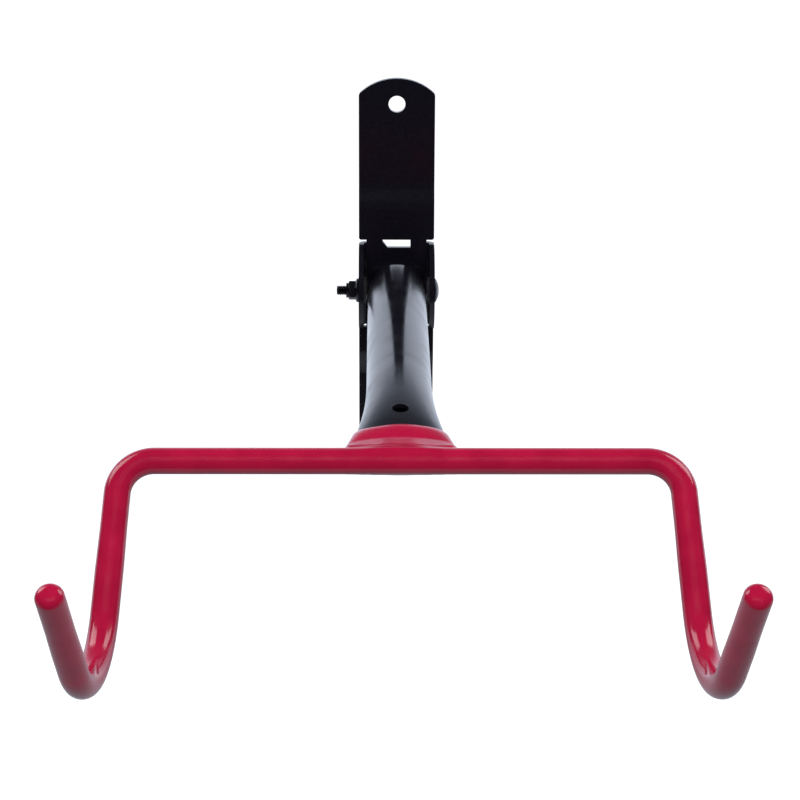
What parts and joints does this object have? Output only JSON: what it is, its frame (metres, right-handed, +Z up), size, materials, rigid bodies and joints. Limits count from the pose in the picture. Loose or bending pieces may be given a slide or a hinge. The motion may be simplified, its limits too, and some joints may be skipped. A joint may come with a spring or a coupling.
{
  "type": "bicycle wall rack",
  "caption": "Folding wall rack: a joggled steel wall bracket with ears, a tube arm hinged on a cross bolt, and a bent bar yoke with upturned vinyl-dipped hooks.",
  "frame": {"origin": "on the wall plane, at the centre of the two wall holes; the hinge bolt's axis is 27 mm in front of it", "axes": "+Y into the wall, -Y out of the wall along the arm, +X to the right of someone who faces the wall, +Z up"},
  "size_m": [0.3068, 0.4755, 0.2444],
  "materials": {
    "black_enamel": "gloss black enamel on steel",
    "black_zinc": "black zinc-plated steel, satin",
    "bare_steel": "plain steel, hidden under the coat or inside the hinge",
    "nylon": "black nylon",
    "red_vinyl": "glossy dipped soft vinyl, 1.2 mm thick"
  },
  "bodies": {
    "bracket": {"wall_bracket": "black_enamel", "hinge_bolt": "black_zinc", "lock_nut": "black_zinc", "nut_insert": "nylon", "spacer_washer_left": "nylon", "spacer_washer_right": "nylon"},
    "arm": {"arm_tube": "black_enamel", "pivot_sleeve": "bare_steel", "sleeve_weld_left": "black_enamel", "sleeve_weld_right": "black_enamel", "yoke_bar": "bare_steel", "arm_weld_top": "bare_steel", "arm_weld_bottom": "bare_steel", "yoke_coat": "red_vinyl"}
  },
  "joints": [
    {"name": "arm_fold", "type": "hinge", "parent": "bracket", "child": "arm", "pos_m": [0, -0.027, 0], "axis": [-1, 0, 0], "range_deg": [0, 90]}
  ]
}
